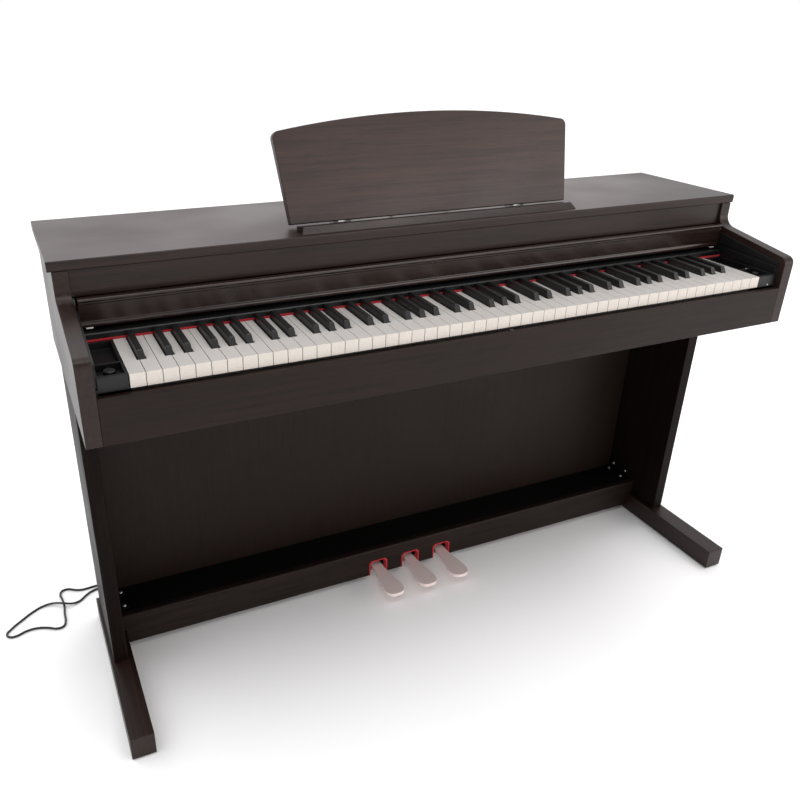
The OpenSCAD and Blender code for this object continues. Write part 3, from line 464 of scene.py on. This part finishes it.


# %% [markdown]
# ## Case and stand boards
# The boards differ in the direction of the grain, in the tone of their foil, which is darker
# on the legs and the key slip as painted shade and lighter on the music rest as painted light,
# and in how much their edges are rounded, so one table lists them all.

# %% Boards
BOARDS = [("top_board", foil_x, "wood_grain", 0.8), ("key_slip", foil_slip_painted_shade, "wood_grain", 1.0),
          ("side_panel_left", foil_y, "wood_grain", 1.2),
          ("side_panel_right", foil_y, "wood_grain", 1.2),
          ("music_ledge", foil_x, "wood_grain", 0.7), ("fascia_board", foil_x, "wood_dark", 0.6),
          ("leg_left", foil_z_painted_shade, "wood_grain", 0.8), ("leg_right", foil_z_painted_shade, "wood_grain", 0.8),
          ("foot_left", foil_y, "wood_dark", 1.2), ("foot_right", foil_y, "wood_dark", 1.2),
          ("back_panel", foil_back, "wood_dark", 0.6),
          ("case_back", foil_stand, "wood_dark", 0.6),
          ("key_bed", foil_x, "wood_dark", 0.6),
          ("pedal_board_front", foil_stand, "wood_dark", 0.8)]
for node, material, slot, radius in BOARDS:
    softened(node, "case", material, radius * MM)
softened("pedal_board_top", "case", black_laminate, 0.5 * MM)
# The music rest's foil is lighter than the case foil: painted light
softened("music_rest", "music_rest", foil_rest_painted_light, 1.6 * MM, 3)
softened("cover_rail", "key_cover", foil_rail, 0)
softened("key_cover", "key_cover", foil_x, 0.6 * MM)
print("boards:", len(BOARDS) + 4)

# %% [markdown]
# ## Keys
# White keys have crisp edges with a radius under a millimetre, and the black ones are
# rounder, because fingers slide off them.

# %% Keys
for body in frame["bodies"]:
    if body.startswith("keys_"):
        sharp = body.endswith("_sharp")
        softened(body, body,
                 sharp_abs if sharp else white_abs_painted_shade, (0.9 if sharp else 0.6) * MM, 2)

# %% [markdown]
# ## Plastic and metal parts
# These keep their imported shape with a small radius. The thin strips and the parts inside the
# case only get their finish, in the table after this one.

# %% Softened plastic and metal
SMALL_PARTS = [("cheek_plates", "case", "black_plastic", black_abs, 0.6),
               ("key_block_left", "case", "black_plastic", black_abs, 0.8),
               ("key_block_right", "case", "black_plastic", black_abs, 0.8),
               ("control_strip", "case", "black_plastic", black_abs, 0.5),
               ("pedal_left", "pedal_left", "rose_brass", rose_brass, 2.2),
               ("pedal_middle", "pedal_middle", "rose_brass", rose_brass, 2.2),
               ("pedal_right", "pedal_right", "rose_brass", rose_brass, 2.2),
               ("foot_pads", "case", "rubber", rubber, 0.5),
               ("adaptor", "case", "black_plastic", black_abs, 0.8),
               ("power_button", "power_button", "black_plastic", black_abs, 0.5),
               ("volume_knob", "volume_knob", "black_plastic", black_abs, 0.4),
               ("jack_plate", "case", "steel", black_steel, 0.4),
               ("stand_brackets", "case", "steel", black_steel, 0.3)]
for node, body, slot, material, radius in SMALL_PARTS:
    softened(node, body, material, radius * MM, 3)

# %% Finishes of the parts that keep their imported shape
AS_PACKED = {"pedal_felts": felt, "felt_strip": felt, "pedal_chassis": zinc_steel,
             "key_chassis": zinc_steel, "contact_board": circuit, "main_board": circuit,
             "speakers": cone_paper, "cover_racks": acetal, "cover_shaft": ground_steel,
             "rest_hinges": zinc_steel, "rest_leaves": zinc_steel, "rest_stay": zinc_steel,
             "phone_jacks": black_abs, "dc_inlet": black_abs, "dc_plug": black_abs}
for node, material in AS_PACKED.items():
    mesh = nodes[node].data
    mesh.materials.clear()
    mesh.materials.append(material)
power_lead.data.materials.append(cord_pvc)
print("parts with a finish only:", len(AS_PACKED))

# %% [markdown]
# ## Small fittings
# Screws, nuts, pads and grilles are turned or moulded shapes, so one function sweeps a
# profile round an axis. A radius that changes with the angle gives the cross recess of a
# screw and the six flats of a nut without any cutting.

# %% Helpers for turned pieces
def turned(bm, at, out, profile, steps=32, closed=False):
    """Sweeps (radius, height) in mm round the axis at a point; a radius may be a function."""
    tilt = Vector(out).to_track_quat("Z", "Y")
    rings = []
    for radius, height in profile:
        ring = []
        for i in range(steps):
            a = 2 * math.pi * i / steps
            r = radius(a) if callable(radius) else radius
            local = Vector((r * math.cos(a), r * math.sin(a), height)) * MM
            ring.append(bm.verts.new(Vector(at) * MM + tilt @ local))
        rings.append(ring)
    pairs = list(zip(rings, rings[1:])) + ([(rings[-1], rings[0])] if closed else [])
    for low, high in pairs:
        for i in range(steps):
            j = (i + 1) % steps
            bm.faces.new((low[i], low[j], high[j], high[i]))
    if not closed:
        bm.faces.new(rings[0][::-1])
        bm.faces.new(rings[-1])


def add_piece(name, body, material, bm, smooth=True):
    """Turns a finished mesh into an object that rides on a body."""
    bmesh.ops.recalc_face_normals(bm, faces=bm.faces)
    mesh = bpy.data.meshes.new(name)
    bm.to_mesh(mesh)
    bm.free()
    mesh.materials.append(material)
    if smooth:
        mesh.shade_smooth()
        mesh.set_sharp_from_angle(angle=math.radians(35))
    piece = bpy.data.objects.new(name, mesh)
    bpy.context.scene.collection.objects.link(piece)
    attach(piece, body)
    print(name, len(mesh.polygons), "faces")
    return piece


def cross(size):
    """Radius of a rounded cross whose arms reach the given size."""
    return lambda a: size * (0.34 + 0.66 * abs(math.cos(2 * a)) ** 3)


def screw(bm, at, out, r):
    """A pan-head screw of radius r in mm that faces the given direction."""
    turned(bm, at, out, [(r, -0.3), (r, 0.16 * r), (0.93 * r, 0.36 * r), (0.74 * r, 0.52 * r),
                         (0.62 * r, 0.57 * r), (cross(0.56 * r), 0.58 * r),
                         (cross(0.44 * r), 0.14 * r)], 24)


# %% [markdown]
# ### Screws
# Pan-head screws hold the shelf brackets, the rear board, the socket panel, the back panel
# and the end blocks. They are zinc plated, so they show as bright dots on the dark boards.

# %% Screw heads
# Radii of the heads and the faces that they sit on, in millimetres
BRACKET_SCREW, PANEL_SCREW, CASE_SCREW, PLATE_SCREW, BLOCK_SCREW = 4.3, 3.6, 3.4, 1.7, 1.8
BRACKET_TOP, BRACKET_SIDE = 85.5, 651.5
PANEL_REAR, CASE_REAR, PLATE_REAR = 146, 230, 232
UP, REAR, FRONT = (0, 0, 1), (0, 1, 0), (0, -1, 0)
bm = bmesh.new()
for side in (-1, 1):
    for y in (73, 117):
        screw(bm, (side * 639, y, BRACKET_TOP), UP, BRACKET_SCREW)
        screw(bm, (side * BRACKET_SIDE, y, 98), (-side, 0, 0), BRACKET_SCREW)
    for z in (130, 330, 530):
        screw(bm, (side * 636, PANEL_REAR, z), REAR, PANEL_SCREW)
    for x in (648, 330):
        for z in (628, 802):
            screw(bm, (side * x, CASE_REAR, z), REAR, CASE_SCREW)
for x in (-594, -466):
    for z in (640, 790):
        screw(bm, (x, PLATE_REAR, z), REAR, PLATE_SCREW)
screw(bm, (633, -159, 711), UP, BLOCK_SCREW)
screw(bm, (638, -211, 692), FRONT, BLOCK_SCREW)
add_piece("screw_heads", "case", zinc_steel, bm)

# %% [markdown]
# ### Socket nuts
# A thin hexagonal nut clamps each headphone socket and a round one clamps the power inlet.

# %% Socket nuts


def flats(size):
    """Radius of a six-sided outline that measures this much from middle to corner."""
    return lambda a: size * math.cos(math.pi / 6) / math.cos(
        (a % (math.pi / 3)) - math.pi / 6)


SOCKET_HEIGHT = 660
bm = bmesh.new()
for x, outer in ((-525, flats(5.8)), (-500, flats(5.8)), (-560, 5.4)):
    turned(bm, (x, PLATE_REAR, SOCKET_HEIGHT), REAR, [
        (3.9, -0.2), (3.9, 0.6), (4.2, 0.85), (5.0, 0.85), (outer, 0.6), (outer, -0.2)],
        48, closed=True)
add_piece("socket_nuts", "case", zinc_steel, bm)

# %% [markdown]
# ### Glide pads and bumper
# Two pale nylon pads under the ends of the cover's rail keep it off the end blocks, and one
# rubber bumper on the key slip takes the closing knock. Both are moulded with round corners.

# %% Pads


def pad(bm, low, high, radius, turn=None):
    """A block with all its edges rounded, in millimetres; turn is an extra matrix."""
    made = bmesh.ops.create_cube(bm, size=1.0)["verts"]
    middle = (Vector(low) + Vector(high)) / 2 * MM
    for vert in made:
        vert.co = Vector([c * (h - l) * MM for c, h, l in zip(vert.co, high, low)]) + middle
        if turn:
            vert.co = turn @ vert.co
    edges = list({edge for vert in made for edge in vert.link_edges})
    bmesh.ops.bevel(bm, geom=edges, offset=radius * MM, segments=3, profile=0.5,
                    affect="EDGES", clamp_overlap=True)


TRACK_SLOPE = math.radians(3)
TRACK_START = (0, -61 * MM, 777 * MM)
TRACK = Matrix.Translation(TRACK_START) @ Matrix.Rotation(TRACK_SLOPE, 4, "X")
bm = bmesh.new()
for side in (-1, 1):
    inner, outer = sorted((side * 635, side * 646))
    pad(bm, (inner, 1.5, -48.8), (outer, 8.5, -46.6), 0.7, TRACK)
add_piece("glide_pads", "key_cover", acetal, bm)
bm = bmesh.new()
turned(bm, (24, -217.5, 686), UP, [(4.2, -0.3), (4.2, 0.8), (3.7, 2.0), (2.6, 2.7),
                                          (1.1, 3.0)], 28)
add_piece("slip_bumper", "case", rubber, bm)

# %% [markdown]
# ### Loudspeaker grilles
# Under the key bed each loudspeaker has a moulded grille of rings on a cross. Rings are
# swept closed profiles, so they have round edges and no hidden cap.

# %% Grilles
bm = bmesh.new()
SPEAKER_X, SPEAKER_Y, BED_UNDERSIDE = 450, 130, 612
for side in (-1, 1):
    centre = (side * SPEAKER_X, SPEAKER_Y, BED_UNDERSIDE)
    for radius in (9, 19, 29, 39, 49, 58):
        turned(bm, centre, (0, 0, -1), [(radius - 1.6, 0), (radius - 1.6, 1.6),
                                        (radius - 0.8, 2.4), (radius + 0.8, 2.4),
                                        (radius + 1.6, 1.6), (radius + 1.6, 0)], 64, closed=True)
    for angle in (45, 135):
        spin = (Matrix.Translation(Vector(centre) * MM)
                @ Matrix.Rotation(math.radians(angle), 4, "Z"))
        pad(bm, (-58, -1.8, -2.2), (58, 1.8, 0.2), 0.6, spin)
add_piece("speaker_grilles", "case", black_abs, bm)

# %% [markdown]
# ### Tie round the wound lead
# The spare length is held by a thin hook-and-loop band, a flat loop round both layers.

# %% Lead tie
bm = bmesh.new()
loops = []
for x in (-594.5, -585.5):
    for grow in (0.0, 0.34):
        y0, y1, z0, z1 = 235.4 - grow, 244.8 + grow, 0.37 - grow, 9.05 + grow
        cut = 1.2 + grow
        corners = [(y0 + cut, z0), (y1 - cut, z0), (y1, z0 + cut), (y1, z1 - cut),
                   (y1 - cut, z1), (y0 + cut, z1), (y0, z1 - cut), (y0, z0 + cut)]
        loops.append([bm.verts.new((x * MM, y * MM, z * MM)) for y, z in corners])
near_in, near_out, far_in, far_out = loops
for a, b in ((near_in, near_out), (near_out, far_out), (far_out, far_in), (far_in, near_in)):
    for i in range(8):
        j = (i + 1) % 8
        bm.faces.new((a[i], a[j], b[j], b[i]))
add_piece("lead_tie", "case", rubber, bm, smooth=False)

# %% [markdown]
# ## Floor and light
# The floor is a flat pale sheet that runs on far past the object, under a sky as bright as
# itself, so no horizon shows. The light is soft: a wide sky lamp, a panel behind, one at the
# front right and a narrow one above the keys. The sky is darker high in front of the player,
# which keeps the dark boards from turning grey.

# %% Floor
FLOOR_REACH = 40.0
paper, tree, shader = new_finish("pale_floor", Roughness=0.85)
place = add_node(tree, "TexCoord").outputs["Object"]
fleck = add_node(tree, "TexNoise", inputs={"Vector": place, "Scale": 3.0}).outputs[0]
paper_tone = add_node(tree, "Mix", {"data_type": "RGBA"}, {
    FACTOR: fleck, COLOUR_A: srgb("fafafa"), COLOUR_B: srgb("ffffff")}).outputs[MIXED]
tree.links.new(paper_tone, shader.inputs["Base Color"])
bm = bmesh.new()
bmesh.ops.create_grid(bm, x_segments=1, y_segments=1, size=FLOOR_REACH)
mesh = bpy.data.meshes.new("floor")
bm.to_mesh(mesh)
bm.free()
mesh.materials.append(paper)
floor = bpy.data.objects.new("floor", mesh)
bpy.context.scene.collection.objects.link(floor)

# %% Lights
HORIZON_GLOW = 1.05
world = bpy.data.worlds.new("studio")
world.use_nodes = True
tree = world.node_tree
backdrop = tree.nodes["Background"]
backdrop.inputs["Color"].default_value = srgb("fbfbfd")
towards = add_node(tree, "TexCoord").outputs["Generated"]
split = add_node(tree, "SeparateXYZ", inputs={"Vector": towards})
glow = add_node(tree, "MapRange", {"interpolation_type": "SMOOTHSTEP"}, {
    "Value": split.outputs["Y"], "From Min": -0.7, "From Max": 0.3, "To Min": 0.35,
    "To Max": 1.12}).outputs[0]
above = add_node(tree, "MapRange", {"interpolation_type": "SMOOTHSTEP"}, {
    "Value": split.outputs["Z"], "From Min": 0.2, "From Max": 0.5}).outputs[0]
strength = add_node(tree, "Mix", {"data_type": "FLOAT"}, {
    FACTOR: above, NUMBER_A: HORIZON_GLOW, NUMBER_B: glow}).outputs[0]
tree.links.new(strength, backdrop.inputs["Strength"])
bpy.context.scene.world = world


def soft_panel(name, at, look_at, size, power, colour="ffffff"):
    """A wide lamp that the camera can't see; power is in watts."""
    light = bpy.data.lights.new(name, "AREA")
    light.shape = "RECTANGLE"
    light.size, light.size_y = size
    light.energy = power
    light.color = srgb(colour)[:3]
    lamp = bpy.data.objects.new(name, light)
    bpy.context.scene.collection.objects.link(lamp)
    lamp.location = at
    lamp.rotation_mode = "QUATERNION"
    lamp.rotation_quaternion = (Vector(at) - Vector(look_at)).to_track_quat("Z", "Y")
    lamp.visible_camera = False


soft_panel("light_behind", (1.4, 3.6, 2.3), (0.2, 0, 0.8), (4.4, 2.0), 16, "fff0ec")
soft_panel("light_front", (2.5, -3.4, 1.5), (0.2, 0, 0.8), (4.0, 1.6), 66, "fff2ee")
soft_panel("light_strip", (0.6, -0.7, 3.0), (0.2, 0, 0.6), (3.6, 0.35), 28)
sky = bpy.data.lights.new("sky_panel", "SUN")
sky.angle = math.radians(100)
sky.energy = 1.2
lamp = bpy.data.objects.new("sky_panel", sky)
bpy.context.scene.collection.objects.link(lamp)
lamp.rotation_euler = (math.radians(-12), math.radians(-14), 0)
bpy.context.scene.view_settings.view_transform = "Standard"

# %% Finish
bpy.context.view_layer.update()
